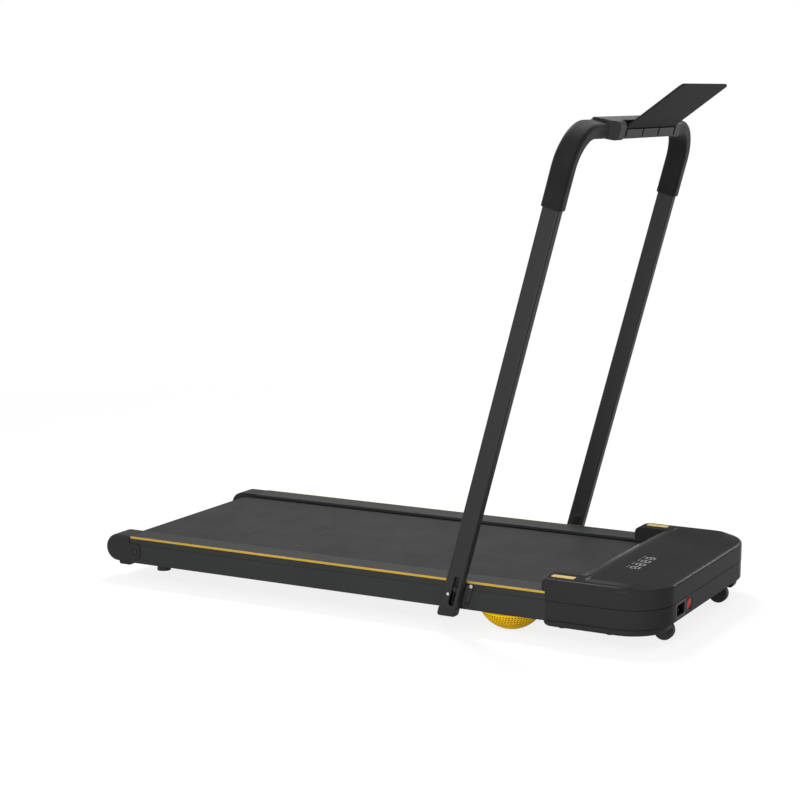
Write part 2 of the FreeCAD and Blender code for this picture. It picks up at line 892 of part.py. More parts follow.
def lower_case():
    body = case_block(0, rail_front, rail_bottom, hood_seam)
    body = rounded(body, case_round,
                   lambda b: at(b.ZMin, b.ZMax, rail_bottom) and not at(b.XMin, b.XMax, rail_front))
    inside = case_block(hood_wall, rail_front - cut, rail_bottom - cut, hood_seam + cut)
    ledge = case_block(hood_wall, case_front - hood_wall - case_ledge,
                       tube_bottom, tube_bottom + case_ledge_thick)
    openings = [
        inlet_block(run_gap, case_front - hood_wall - cut, front),
        inlet_block(inlet_flange + run_gap, case_front - inlet_flange_thick, front + cut),
        switch_round(switch_radius + switch_wall + run_gap, case_front - hood_wall - cut, front),
        switch_round(switch_radius + switch_wall + switch_flange + run_gap,
                     switch_face - switch_flange_thick, front + cut)]
    seam_low = hood_seam - seam_tall
    seam = case_block(-cut, rail_front - cut, seam_low, hood_seam + cut)
    seam = seam.cut(case_block(seam_deep, rail_front - 2 * cut, seam_low - cut, hood_seam + 2 * cut))
    return joined([body.cut(inside), ledge]).cut(openings + [seam])


switch_face = case_front - case_inset


def belly_pan():
    def shell(inset, low, high):
        half = hood_half - pan_inset - inset
        return plan(pan_rear + inset, front - pan_inset - inset, half, pan_rear_corner - inset,
                    hood_corner - pan_inset - inset, low, high)

    def notch(inset):
        half = pan_notch_half + inset
        return box(pan_notch_rear - inset, front + cut, -half, half, pan_bottom - cut, plate_bottom + cut)

    body = rounded(shell(0, pan_bottom, plate_bottom), pan_round, lambda b: at(b.ZMin, b.ZMax, pan_bottom))
    inside = shell(pan_wall, pan_bottom + pan_wall, plate_bottom + cut).cut(notch(pan_wall))
    pan = body.cut([notch(0), inside])
    bosses = []
    holes = []
    for x, y, seat in pan_screw_seats():
        bosses.append(rod_z(pan_boss, pan_bottom + pan_wall, seat, x, y))
        holes.append(rod_z(pan_screw_radius + screw_gap, pan_bottom - cut, seat + cut, x, y))
    return joined([pan] + bosses).cut(holes)


def pan_screw_seats():
    """Each pan screw's place and the height of what it is driven into, frame tube or base plate."""
    y = tube_outer - pan_screw_inset
    seats = zip(pan_screw_insets, (tube_bottom, plate_bottom))
    return [(front - inset, side * y, seat) for inset, seat in seats for side in (-1, 1)]


def pan_screw(x, y, seat):
    head = rod_z(pan_screw_head, pan_bottom - pan_screw_head_tall, pan_bottom, x, y)
    return joined([head, rod_z(pan_screw_radius, pan_bottom, seat, x, y)])


keep("lower_case", lower_case())
keep("belly_pan", belly_pan())
keep("belly_pan_screws", *[pan_screw(*place) for place in pan_screw_seats()])


# Front base plate with slots over the wheels, and the motor's cradle
def base_plate():
    sheet = plan(plate_rear, plate_front, plate_half, plate_thick, plate_corner, plate_bottom, tube_bottom)
    half = wheel_wide / 2 + wheel_side_gap
    slots = [box(wheel_axis - wheel_radius - wheel_slot_gap, plate_front + cut, side * wheel_middle - half,
                 side * wheel_middle + half, plate_bottom - cut, tube_bottom + cut) for side in (-1, 1)]
    return sheet.cut(slots)


def motor_cradle():
    block = box(motor_axis - cradle_long / 2, motor_axis + cradle_long / 2, motor_inner + cradle_inset,
                motor_inner + motor_long - cradle_inset, tube_bottom, tube_bottom + cradle_tall)
    return block.cut(rod_y(motor_radius + run_gap, motor_inner, motor_inner + motor_long,
                           motor_axis, motor_height))


def motor_can():
    end = motor_inner + motor_long
    can = rod_y(motor_radius, motor_inner, end, motor_axis, motor_height)
    inside = rod_y(motor_radius - motor_wall, motor_inner + motor_wall, end - motor_wall,
                   motor_axis, motor_height)
    bore = rod_y(shaft_radius + run_gap, motor_inner - cut, end + cut, motor_axis, motor_height)
    return can.cut([inside, bore])


def motor_armature():
    inner = motor_inner + motor_wall + armature_margin
    outer = motor_inner + motor_long - motor_wall - armature_margin
    core = rod_y(armature_radius, inner, outer, motor_axis, motor_height)
    shaft = rod_y(shaft_radius, motor_inner - shaft_stub, pulley_inner + pulley_wide,
                  motor_axis, motor_height)
    return joined([core, shaft])


def motor_pulley():
    wheel = rod_y(motor_pulley_radius, pulley_inner, pulley_inner + pulley_wide, motor_axis, motor_height)
    return wheel.cut(rod_y(shaft_radius + weld_gap, pulley_inner - cut, pulley_inner + pulley_wide + cut,
                           motor_axis, motor_height))


def roller_pulley():
    wheel = rod_y(roller_pulley_radius, pulley_inner, pulley_inner + pulley_wide, front_axis, roller_height)
    hub = rod_y(pulley_hub, roller_half, pulley_inner, front_axis, roller_height)
    bore = rod_y(axle_radius + seat_gap, roller_half - cut, pulley_inner + pulley_wide + cut,
                 front_axis, roller_height)
    return joined([wheel, hub]).cut(bore)


keep("front_base_plate", base_plate())
keep("motor_cradle", motor_cradle())
keep("motor_can", motor_can())
keep("motor_armature", motor_armature())
keep("motor_pulley", motor_pulley())
keep("roller_pulley", roller_pulley())
keep("drive_belt", belt(front_centre, roller_pulley_radius + belt_gap, (motor_axis, motor_height),
                        motor_pulley_radius + belt_gap, drive_belt_thick, pulley_inner + drive_belt_inset,
                        pulley_inner + pulley_wide - drive_belt_inset))


# Control board on spacers, with its heat sink and capacitors
board_low = tube_bottom + spacer_tall
board_high = board_low + board_thick


def heat_sink():
    x0 = board_rear + sink_inset
    y0 = board_right + sink_inset
    step = sink_wide / (sink_fins - 1 + sink_fin_share)
    base = box(x0, x0 + sink_long, y0, y0 + sink_wide, board_high, board_high + sink_base)
    fins = [box(x0, x0 + sink_long, y0 + step * i, y0 + step * (i + sink_fin_share),
                board_high, board_high + sink_tall) for i in range(sink_fins)]
    return joined([base] + fins)


def spacers():
    xs = (board_rear + spacer_inset, board_rear + board_long - spacer_inset)
    ys = (board_right + spacer_inset, board_right + board_wide - spacer_inset)
    return [rod_z(spacer_radius, tube_bottom, board_low, x, y) for x in xs for y in ys]


def capacitors():
    x = board_rear + board_long - capacitor_inset
    ys = [board_right + board_wide - capacitor_inset - capacitor_step * i for i in range(2)]
    return [rod_z(capacitor_radius, board_high, board_high + capacitor_tall, x, y) for y in ys]


def circuit_board():
    return box(board_rear, board_rear + board_long, board_right, board_right + board_wide,
               board_low, board_high)


keep("control_board", circuit_board(), heat_sink(), *capacitors())
keep("board_spacers", *spacers())


# Mains inlet and rocker switch
def inlet():
    back = case_front - inlet_deep
    body = joined([inlet_block(0, back, case_front - inlet_flange_thick),
                   inlet_block(inlet_flange, case_front - inlet_flange_thick, case_front)])
    mouth = box(back + inlet_wall, case_front + cut, inlet_middle - inlet_wide / 2 + inlet_wall,
                inlet_middle + inlet_wide / 2 - inlet_wall, inlet_height - inlet_tall / 2 + inlet_wall,
                inlet_height + inlet_tall / 2 - inlet_wall)
    return body.cut(rounded(mouth, inlet_wall, along_x))


def inlet_pin(step, drop):
    y = inlet_middle + step
    z = inlet_height + drop
    return box(case_front - inlet_deep + inlet_wall, case_front - pin_inside,
               y - pin_thick / 2, y + pin_thick / 2, z - pin_wide / 2, z + pin_wide / 2)


rocker_axis = switch_face - rocker_back
rocker_half_wide = switch_radius * rocker_wide_share
rocker_half_tall = switch_radius * rocker_tall_share


def switch_bezel():
    radius = switch_radius + switch_wall
    body = joined([switch_round(radius, case_front - switch_deep, switch_face),
                   switch_round(radius + switch_flange, switch_face - switch_flange_thick, switch_face)])
    swing = rocker_back * math.tan(math.radians(rocker_tilt)) + switch_wall / 2
    wide = rocker_half_wide + seat_gap
    tall = rocker_half_tall + swing
    window = box(case_front - switch_deep + switch_wall, switch_face + cut, switch_middle - wide,
                 switch_middle + wide, switch_height - tall, switch_height + tall)
    window = rounded(window, rocker_half_wide * rocker_corner_share, along_x)
    half = rocker_half_wide + rocker_pin_bite + seat_gap
    pin = rod_y(rocker_pin + run_gap, switch_middle - half, switch_middle + half,
                rocker_axis, switch_height)
    return body.cut([window, pin])


def rocker():
    key = box(rocker_axis - rocker_pin, switch_face,
              switch_middle - rocker_half_wide, switch_middle + rocker_half_wide,
              switch_height - rocker_half_tall, switch_height + rocker_half_tall)
    key = rounded(key, rocker_half_wide * rocker_corner_share, along_x)
    half = rocker_half_wide + rocker_pin_bite
    pin = rod_y(rocker_pin, switch_middle - half, switch_middle + half, rocker_axis, switch_height)
    key = joined([key, pin])
    key.rotate(V(rocker_axis, switch_middle, switch_height), V(0, 1, 0), rocker_tilt)
    return key


keep("power_inlet", inlet())
keep("inlet_pins", inlet_pin(-pin_step / 2, -pin_drop), inlet_pin(0, pin_drop),
     inlet_pin(pin_step / 2, -pin_drop))
keep("switch_bezel", switch_bezel())
keep("power_switch", rocker())


# Front wheels on their brackets
ear_inner = wheel_middle - wheel_wide / 2 - wheel_side_gap
ear_outer = wheel_middle + wheel_wide / 2 + wheel_side_gap


def wheel():
    tread = rod_y(wheel_radius, wheel_middle - wheel_wide / 2, wheel_middle + wheel_wide / 2,
                  wheel_axis, wheel_radius)
    tread = rounded(tread, wheel_edge, lambda b: b.YLength < near)
    return tread.cut(rod_y(wheel_axle_radius + run_gap, ear_inner, ear_outer, wheel_axis, wheel_radius))


def wheel_bracket():
    rear = wheel_axis - ear_long

    def ear(y0):
        plate = box(rear, wheel_axis + ear_low, y0, y0 + ear_thick, wheel_radius, plate_bottom)
        tip = rod_y(ear_low, y0, y0 + ear_thick, wheel_axis, wheel_radius)
        return joined([plate, tip])

    inner = ear_inner - ear_thick
    outer = ear_outer + ear_thick
    back = box(rear, rear + ear_thick, inner, outer, wheel_radius, plate_bottom)
    hole = rod_y(wheel_axle_radius + weld_gap, inner - cut, outer + cut, wheel_axis, wheel_radius)
    return joined([ear(inner), ear(ear_outer), back]).cut(hole)


def wheel_axle():
    inner = ear_inner - ear_thick
    outer = ear_outer + ear_thick
    pin = rod_y(wheel_axle_radius, inner, outer, wheel_axis, wheel_radius)
    heads = [rod_y(axle_head, y, y + axle_head_thick, wheel_axis, wheel_radius)
             for y in (inner - axle_head_thick, outer)]
    return joined([pin] + heads)


keep_sides("front_wheel", wheel())
keep_pair("wheel_brackets", wheel_bracket())
keep_pair("wheel_axles", wheel_axle())


# Rear feet and the yellow domes
def rear_foot():
    return Part.makeCone(foot_radius, foot_top_radius, strap_bottom, V(foot_place, foot_middle, 0))


def dome():
    height = strap_bottom - dome_rim
    radius = (dome_radius ** 2 + height ** 2) / (2 * height)
    ball = Part.makeSphere(radius, V(dome_place, dome_middle, radius))
    bowl = ball.common(rod_z(dome_radius, 0, height, dome_place, dome_middle))
    return joined([bowl, rod_z(dome_radius, height, strap_bottom, dome_place, dome_middle)])


keep_pair("rear_feet", rear_foot())
keep_sides("dome", dome())


# Handrail pivots: a bracket bolted to the rail, and the block that turns on it and slides in the post
def stadium(wide, low, high, y0, y1):
    radius = wide / 2
    middle = box(slot_offset - radius, slot_offset + radius, y0, y1, low + radius, high - radius)
    ends = [rod_y(radius, y0, y1, slot_offset, z) for z in (low + radius, high - radius)]
    return joined([middle] + ends)


block_end = post_outer - block_short


def pivot_bracket():
    sheet = lean(box(bracket_rear, bracket_front, rail_half, bracket_face, 0, 2 * bracket_high))
    sheet = sheet.common(box(0, front, rail_half, bracket_face, bracket_low, bracket_high))
    holes = [rod_y(pivot_radius + run_gap, rail_half - cut, bracket_face + cut, slot_offset, pivot_height)]
    holes += [rod_y(bracket_bolt_radius + run_gap, rail_half - cut, bracket_face + cut, bracket_bolt_x, z)
              for z in bracket_bolt_places]
    return sheet.cut([lean(hole) for hole in holes])


def bracket_bolt(z):
    head = rod_y(bracket_bolt_head, bracket_face, bracket_face + bracket_bolt_head_tall, bracket_bolt_x, z)
    shank = rod_y(bracket_bolt_radius, rail_half - bracket_bolt_inside, bracket_face, bracket_bolt_x, z)
    return lean(joined([head, shank]))


def pivot_bolt():
    head = rod_y(pivot_head, block_end + run_gap, block_end + pivot_head_tall, slot_offset, pivot_height)
    shank = rod_y(pivot_radius, rail_half - pivot_inside, block_end + run_gap, slot_offset, pivot_height)
    return lean(joined([head, shank]))


def pivot_block():
    key = stadium(block_wide, block_low, block_high, bracket_face + seat_gap, block_end)
    flange = stadium(block_wide + 2 * block_flange, block_low - block_flange, block_high + block_flange,
                     bracket_face + seat_gap, post_inner - seat_gap)
    bore = rod_y(pivot_radius + run_gap, rail_half, post_outer, slot_offset, pivot_height)
    return lean(joined([key, flange]).cut(bore))


bolts = [pivot_bolt()] + [bracket_bolt(z) for z in bracket_bolt_places]
keep_pair("pivot_brackets", pivot_bracket())
keep("pivot_bolts", *bolts, *[mirrored(bolt) for bolt in bolts])
keep_pair("pivot_blocks", pivot_block())


# Handrail tube: two posts and the bow that plugs into them
def post_section(grow, z0, z1):
    """A stretch of the post, its section grown or shrunk all round, with rounded edges."""
    deep = post_deep / 2 + grow
    wide = post_wide / 2 + grow
    stretch = box(-deep, deep, post_middle - wide, post_middle + wide, z0, z1)
    return rounded(stretch, post_edge + grow, upright_edge)


def bow_section(grow, low, inner):
    """Half of the bow, from a height on the post, round the bend and along the top."""
    bend_z = bow_height - bow_bend
    bend_y = post_middle - bow_bend
    leg = post_section(grow, low, bend_z)
    face = [f for f in leg.Faces if at(f.BoundBox.ZMin, f.BoundBox.ZMax, bend_z)][0]
    bend = face.revolve(V(0, bend_y, bend_z), V(1, 0, 0), 90)
    end = [f for f in bend.Faces if at(f.BoundBox.YMin, f.BoundBox.YMax, bend_y)][0]
    return joined([leg, bend, end.extrude(V(0, inner - bend_y, 0))])


def whole_bow(grow):
    half = bow_section(grow, post_joint, 0)
    return joined([half, mirrored(half)])


def post():
    tube = post_section(0, 0, post_joint).cut(post_section(-post_wall, -cut, post_joint + cut))
    slot = stadium(slot_wide, slot_low, slot_high, post_inner - cut, post_outer + cut)
    rivet_hole = rod_y(rivet_shank + run_gap, post_middle, post_outer + cut, rivet_offset, rivet_place)
    ground = box(0, front, 0, front, -post_cut, post_cut)
    return lean(tube.cut([slot, rivet_hole])).cut(ground)


def bow():
    spigot = post_section(-post_wall - run_gap, post_joint - spigot_long, post_joint + spigot_long)
    spigot = spigot.cut(post_section(-post_wall - spigot_wall, post_joint - spigot_long - cut,
                                     post_joint + spigot_long + cut))
    inside = bow_section(-post_wall, post_joint - cut, -cut)
    tube = whole_bow(0).cut([inside, mirrored(inside)])
    return lean(joined([tube, spigot, mirrored(spigot)]))


def grip():
    outside = bow_section(foam_thick, foam_start, console_half + seat_gap)
    inside = bow_section(seat_gap, foam_start - cut, console_half - cut)
    return lean(outside.cut(inside))


def end_plug():
    def room(z0, z1):
        return box(0, front, 0, front, z0, z1)

    deep = post_deep / 2 + plug_proud
    wide = post_wide / 2 + plug_side_proud
    low = post_cut - plug_tall
    foot = lean(box(-deep, deep, post_middle - wide, post_middle + wide, -post_cut, 2 * post_cut))
    foot = rounded(foot.common(room(low, post_cut)), plug_round, lambda b: not at(b.ZMin, b.ZMax, post_cut))
    stem = lean(post_section(-post_wall - run_gap, -post_cut, 2 * post_cut))
    return joined([foot, stem.common(room(post_cut, post_cut + plug_inside))])


def rivet():
    head = rod_y(rivet_radius, post_outer, post_outer + rivet_tall, rivet_offset, rivet_place)
    shank = rod_y(rivet_shank, post_outer - rivet_inside, post_outer, rivet_offset, rivet_place)
    return lean(joined([head, shank]))


keep_sides("post", post())
keep("handlebar_bow", bow())
keep_sides("foam_grip", grip())
keep_pair("post_end_plugs", end_plug())
keep_pair("post_rivets", rivet())


# Console in two halves round the bow, and the tablet plate between its fingers
trough_rear = hinge_forward - barrel_radius - trough_gap
trough_half = console_half - trough_inset
barrel_half = trough_half - trough_gap
tilt = math.radians(tablet_tilt)
finger_inner = console_front - finger_thick
finger_reach = (finger_inner - hinge_forward - tablet_thick / 2 * math.cos(tilt)) / math.tan(tilt)
finger_top = hinge_height - tablet_thick / 2 * math.sin(tilt) + finger_reach - 2 * seat_gap


def console_block():
    outline = [(-console_rear, console_low + console_back_lift),
               (-console_rear, console_high - console_back_drop),
               (console_back_run - console_rear, console_high - console_brow_drop),
               (console_front - console_nose_run, console_high),
               (console_front, console_high - console_nose_drop),
               (console_front, console_low + console_chin_lift),
               (console_front - console_chin_run, console_low),
               (console_back_lift - console_rear, console_low)]
    block = rounded(prism_y(outline, -console_half, console_half), console_round, along_y)
    ends = box(-console_rear, console_front, -console_half, console_half, console_low, console_high)
    ends = ends.makeChamfer(console_taper, [e for e in ends.Edges if upright_edge(e.BoundBox)])
    return block.common(ends).cut(console_bore())


def console_bore():
    deep = post_deep / 2 + run_gap
    tall = post_wide / 2 + run_gap
    bore = box(-deep, deep, -console_half - cut, console_half + cut, bow_height - tall, bow_height + tall)
    return rounded(bore, post_edge, along_y)


def console_front_half():
    half = console_block().common(box(0, front, -front, front, 0, front * 2))
    under = console_low + trough_lift
    floor = under + finger_thick
    relief_half = trough_half + trough_wall
    relief = box(trough_rear, console_front + cut, -relief_half, relief_half, console_low - cut, under)
    trough = box(trough_rear, finger_inner, -trough_half, trough_half, floor, console_high + cut)
    over = box(trough_rear, console_front + cut, -trough_half, trough_half, finger_top, console_high + cut)
    finger_half = trough_half - finger_end_gap
    step = 2 * finger_half / finger_count
    middles = [step * i - finger_half for i in range(1, finger_count)]
    spans = [(y - finger_gap / 2, y + finger_gap / 2) for y in middles]
    spans += [(-trough_half, -finger_half), (finger_half, trough_half)]
    gaps = [box(trough_rear, console_front + cut, y0, y1, floor, console_high) for y0, y1 in spans]
    reach = trough_half + pin_reach
    pins = rod_y(hinge_pin + run_gap, -reach - seat_gap, reach + seat_gap, hinge_forward, hinge_height)
    return lean(half.cut([trough, over, pins, relief] + gaps))


def console_rear_half():
    return lean(console_block().common(box(-front, 0, -front, front, 0, front * 2)))


def tablet_plate():
    high = hinge_height + tablet_long
    sheet = box(hinge_forward - tablet_thick / 2, hinge_forward + tablet_thick / 2,
                -tablet_half, tablet_half, hinge_height, high)
    sheet = rounded(sheet, tablet_round, lambda b: along_x(b) and at(b.ZMin, b.ZMax, high))
    barrel = rod_y(barrel_radius, -barrel_half, barrel_half, hinge_forward, hinge_height)
    reach = trough_half + pin_reach
    pin = rod_y(hinge_pin, -reach, reach, hinge_forward, hinge_height)
    plate = joined([sheet, barrel, pin])
    plate.rotate(V(hinge_forward, 0, hinge_height), V(0, 1, 0), tablet_tilt)
    return lean(plate)


keep("console_front_half", console_front_half())
keep("console_rear_half", console_rear_half())
keep("tablet_plate", tablet_plate())


# One file for each node
os.makedirs("parts", exist_ok=True)
for name, solids in nodes.items():
    shape = solids[0] if len(solids) == 1 else Part.makeCompound(solids)
    shape.exportStep(os.path.join("parts", name + ".step"))
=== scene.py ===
import math

import bmesh
import bpy
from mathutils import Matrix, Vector


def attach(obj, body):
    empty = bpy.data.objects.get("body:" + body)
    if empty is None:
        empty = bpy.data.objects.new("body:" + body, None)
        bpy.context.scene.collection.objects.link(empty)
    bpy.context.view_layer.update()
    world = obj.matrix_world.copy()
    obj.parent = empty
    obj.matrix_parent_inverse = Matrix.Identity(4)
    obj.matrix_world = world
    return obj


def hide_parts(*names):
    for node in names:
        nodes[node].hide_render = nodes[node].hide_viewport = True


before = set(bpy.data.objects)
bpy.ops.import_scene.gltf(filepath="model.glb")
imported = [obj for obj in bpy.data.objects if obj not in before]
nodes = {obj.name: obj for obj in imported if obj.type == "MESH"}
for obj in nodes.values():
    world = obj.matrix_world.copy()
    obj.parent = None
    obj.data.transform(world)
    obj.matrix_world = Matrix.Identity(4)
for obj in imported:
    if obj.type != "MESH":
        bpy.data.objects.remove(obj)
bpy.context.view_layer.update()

# Sizes repeated from the model, in metres
MM = 0.001
HOOD_TOP = 121 * MM
POST_FOOT = 188.2 * MM
LEAN = math.radians(15)
POST_MIDDLE = 283 * MM
POST_DEEP = 34 * MM
POST_WIDE = 21 * MM
POST_EDGE = 4 * MM
BOW_HEIGHT = 962 * MM
BOW_BEND = 70 * MM
FOAM_THICK = 3.5 * MM
FOAM_START = 820 * MM
FOAM_END = 170.3 * MM
DOME_PLACE = (296 * MM, 213 * MM)
DOME_RADIUS = 57.5 * MM
DOME_RIM = 4 * MM
DOME_TOP = 38 * MM
BRIGHT_BOLT_AHEAD_OF = 225.6 * MM
BRIGHT_BOLT_ABOVE = 70 * MM

# Foam sleeves: gap to the tube, rolled lip, how deep hands press them and how fine the mesh is
FOAM_GAP = 0.35 * MM
FOAM_LIP = 2.2 * MM
FOAM_PRESS = 0.35 * MM
PRESS_WAVE = 42
PRESS_PHASE = 1.3
LIP_STEPS = 5
RUN_STEPS = 24
BEND_STEPS = 32
CORNER_STEPS = 8
SIDE_STEPS = 6

# Domes: their pits, the shares of a pit's depth that are shaded, and how fine the mesh is
PIT_STEP = 5.8 * MM
PIT_RADIUS = 1.9 * MM
PIT_DEPTH = 1.5 * MM
PIT_SHADED = (0.3, 1.1)
LEAST_PITS = 3
DOME_EDGE = 0.6 * MM
DOME_AROUND = 400
DOME_ROWS = 120
DOME_START = 0.01

# Film of the figures and marks on the display window
FILM_LOW = HOOD_TOP + 0.01 * MM
FILM_HIGH = HOOD_TOP + 0.06 * MM
FILM_TAPER = 0.97
FIGURE_COUNT = 4
FIGURE_NEAR = 497 * MM
FIGURE_LEFT = -34 * MM
FIGURE_PITCH = 26.5 * MM
FIGURE_TALL = 17 * MM
FIGURE_WIDE = 13 * MM
FIGURE_SLANT = 0.12
FIGURE_STROKE = 1.3 * MM
FIGURE_STROKES = (
    ((0, 0), (1, 0)), ((0, 0.5), (1, 0.5)), ((0, 1), (1, 1)), ((0, 0), (0, 0.5)),
    ((0, 0.5), (0, 1)), ((1, 0), (1, 0.5)), ((1, 0.5), (1, 1)),
)
MARK_NEAR = 490 * MM
MARK_LEFT = -26 * MM
MARK_PITCH = 28 * MM
MARK_STROKE = 1.1 * MM
MARK_DASHES = ((0, 3.5 * MM), (4.6 * MM, 2.0 * MM), (7.6 * MM, 4.2 * MM), (12.8 * MM, 2.6 * MM))

# Looks that several materials share
NOISE_LOW, NOISE_HIGH = 0.3, 0.7
EDGE_SAMPLES = 4
EDGE_WEAR = 2.0
MOULDED_EDGE = 0.6 * MM
FINE_EDGE = 0.5 * MM
BOLT_EDGE = 0.4 * MM
DUST_FROM, DUST_FULL = 0.93, 0.995
UNDER_FULL, UNDER_FROM = -0.6, -0.15
BELT_PITCH = 7.8 * MM

# Places of the colour sockets in a mix node
MIX_SHARE, MIX_FIRST, MIX_SECOND, MIX_RESULT = 0, 6, 7, 2

# Floor and surroundings: the floor shows white far off, and a little less near the part
WHITE = (1, 1, 1, 1)
FLOOR_HALF = 60
FLOOR_TONE = 0.86
FLOOR_NEAR, FLOOR_FAR = 1.0, 3.0
FLOOR_NEAR_GLOW = 0.84
ROOM_LIGHT = 0.4

# Lamps: name, place, target, size in metres and power in watts
LAMPS = (
    ("top_softbox", (0.1, -0.2, 3.2), (0, 0, 0.1), (3.2, 2.4), 18),
    ("key_softbox", (-0.68, 0.85, 2.68), (0.5, -0.25, 0.1), (0.55, 0.55), 58),
    ("rim_softbox", (-1.4, 2.8, 1.9), (0.3, 0, 0.1), (1.6, 1.2), 20),
    ("corner_softbox", (0.7, -3.2, 0.5), (0.4, -0.1, 0.2), (0.8, 0.9), 60),
    ("edge_softbox", (0.6, -2.6, 2.3), (0.3, 0, 0.2), (1.6, 0.6), 24),
    ("crest_softbox", (1.3, 2.7, 1.05), (0.58, 0, 0.16), (0.6, 0.6), 20),
    ("fill_softbox", (-2.4, -2.8, 1.8), (0, 0, 0.3), (1.6, 1.6), 18),
)

# Camera, as fitted to the photograph
CAMERA_PLACE = (1.7845, -3.4135, 0.9961)
CAMERA_TILT = math.radians(80.93)
CAMERA_SWING = math.radians(28.35)
CAMERA_LENS = 87.06
CAMERA_SENSOR = 36


# Node trees
class Look:
    """A material and short ways to add nodes to it. Coordinates are the part's own, in metres."""

    def __init__(self, name, colour, roughness, **sockets):
        self.material = bpy.data.materials.new(name)
        self.material.use_nodes = True
        self.tree = self.material.node_tree
        self.shader = self.tree.nodes["Principled BSDF"]
        self.shader.inputs["Base Color"].default_value = (*colour, 1)
        self.shader.inputs["Roughness"].default_value = roughness
        for socket, value in sockets.items():
            self.shader.inputs[socket.replace("_", " ")].default_value = value
        self.place = self.node("TexCoord").outputs["Object"]

    def node(self, kind, settings=None, **inputs):
        made = self.tree.nodes.new("ShaderNode" + kind)
        for name, value in (settings or {}).items():
            setattr(made, name, value)
        for name, value in inputs.items():
            self.feed(made.inputs[name.replace("_", " ")], value)
        return made

    def feed(self, socket, value):
        if isinstance(value, bpy.types.NodeSocket):
            self.tree.links.new(value, socket)
        else:
            socket.default_value = value

    def set(self, socket, value):
        self.feed(self.shader.inputs[socket], value)

    def maths(self, operation, a, b=0.0, clamp=False):
        made = self.node("Math", {"operation": operation, "use_clamp": clamp})
        self.feed(made.inputs[0], a)
        self.feed(made.inputs[1], b)
        return made.outputs[0]

    def noise(self, scale, detail=2.0, rough=0.5, place=None):
        made = self.node("TexNoise", Vector=place or self.place, Scale=scale, Detail=detail,
                         Roughness=rough)
        return made.outputs["Fac"]

    def stretched(self, scale):
        return self.node("Mapping", Vector=self.place, Scale=scale).outputs["Vector"]

    def spread(self, value, low, high, to_low=0, to_high=1):
        """A value within one range carried over to another range."""
        made = self.node("MapRange", Value=value, From_Min=low, From_Max=high,
                         To_Min=to_low, To_Max=to_high)
        return made.outputs["Result"]

    def varied(self, noise, to_low, to_high):
        """A noise's middle range, spread from one value to another."""
        return self.spread(noise, NOISE_LOW, NOISE_HIGH, to_low, to_high)

    def mix(self, share, first, second):
        made = self.node("Mix", {"data_type": "RGBA"})
        self.feed(made.inputs[MIX_SHARE], share)
        for place, value in ((MIX_FIRST, first), (MIX_SECOND, second)):
            linked = isinstance(value, bpy.types.NodeSocket)
            self.feed(made.inputs[place], value if linked else (*value, 1))
        return made.outputs[MIX_RESULT]

    def toned(self, noise, colour, darkest, palest):
        """The colour from a darker to a paler tone, as a noise goes."""
        return self.mix(self.varied(noise, 0, 1), shade(colour, darkest), shade(colour, palest))

    def edge_normal(self, radius):
        return self.node("Bevel", {"samples": EDGE_SAMPLES}, Radius=radius).outputs["Normal"]

    def edge_share(self, rounded):
        """How far the surface turns within a small radius: nothing on a flat, one on an edge."""
        dot = self.node("VectorMath", {"operation": "DOT_PRODUCT"})
        self.feed(dot.inputs[0], rounded)
        self.feed(dot.inputs[1], self.node("NewGeometry").outputs["Normal"])
        turned = self.maths("SUBTRACT", 1.0, dot.outputs["Value"])
        return self.maths("MULTIPLY", turned, EDGE_WEAR, clamp=True)

    def dusted(self, roughness, dull):
        """Roughness that grows to dull where dust lies, on top, and where nothing rubs, below."""
        normal = self.node("NewGeometry").outputs["Normal"]
        up = self.node("SeparateXYZ", Vector=normal).outputs["Z"]
        settled = self.maths("MAXIMUM", self.spread(up, DUST_FROM, DUST_FULL),
                             self.spread(up, UNDER_FULL, UNDER_FROM, 1, 0))
        fine = self.varied(self.noise(scale=120, detail=4), -0.03, 0.04)
        return self.maths("ADD", self.spread(settled, 0, 1, roughness, dull), fine, clamp=True)

    def bump(self, height, strength, distance, normal=None):
        made = self.node("Bump", Height=height, Strength=strength, Distance=distance)
        if normal is not None:
            self.feed(made.inputs["Normal"], normal)
        return made.outputs["Normal"]


def shade(colour, factor):
    return tuple(min(1.0, part * factor) for part in colour)


def srgb(red, green, blue):
    """A colour as it is seen on screen, 0 to 255, turned into light."""
    parts = [value / 255 for value in (red, green, blue)]
    return tuple(p / 12.92 if p <= 0.04045 else ((p + 0.055) / 1.055) ** 2.4 for p in parts)


def moulded(name, colour, roughness, dull=0.5, grain=900, grain_depth=0.06 * MM, wear=1.25,
            **sockets):
    """Moulded or coated surface: fine grain, faint clouds, rounded edges that are rubbed paler."""
    look = Look(name, colour, roughness, **sockets)
    speck = look.noise(scale=grain, detail=2)
    rounded = look.edge_normal(MOULDED_EDGE)
    tone = look.toned(look.noise(scale=5, detail=3), colour, 0.95, 1.05)
    fine = look.mix(look.spread(speck, 0.35, 0.65), shade(colour, 0.85), tone)
    patches = look.spread(look.noise(scale=60, detail=3), 0.35, 0.7, 0.1, 1)
    rubbed = look.maths("MULTIPLY", look.edge_share(rounded), patches)
    look.set("Base Color", look.mix(rubbed, fine, shade(colour, wear)))
    look.set("Roughness", look.dusted(roughness, dull))
    look.set("Normal", look.bump(speck, strength=0.5, distance=grain_depth, normal=rounded))
    return look.material


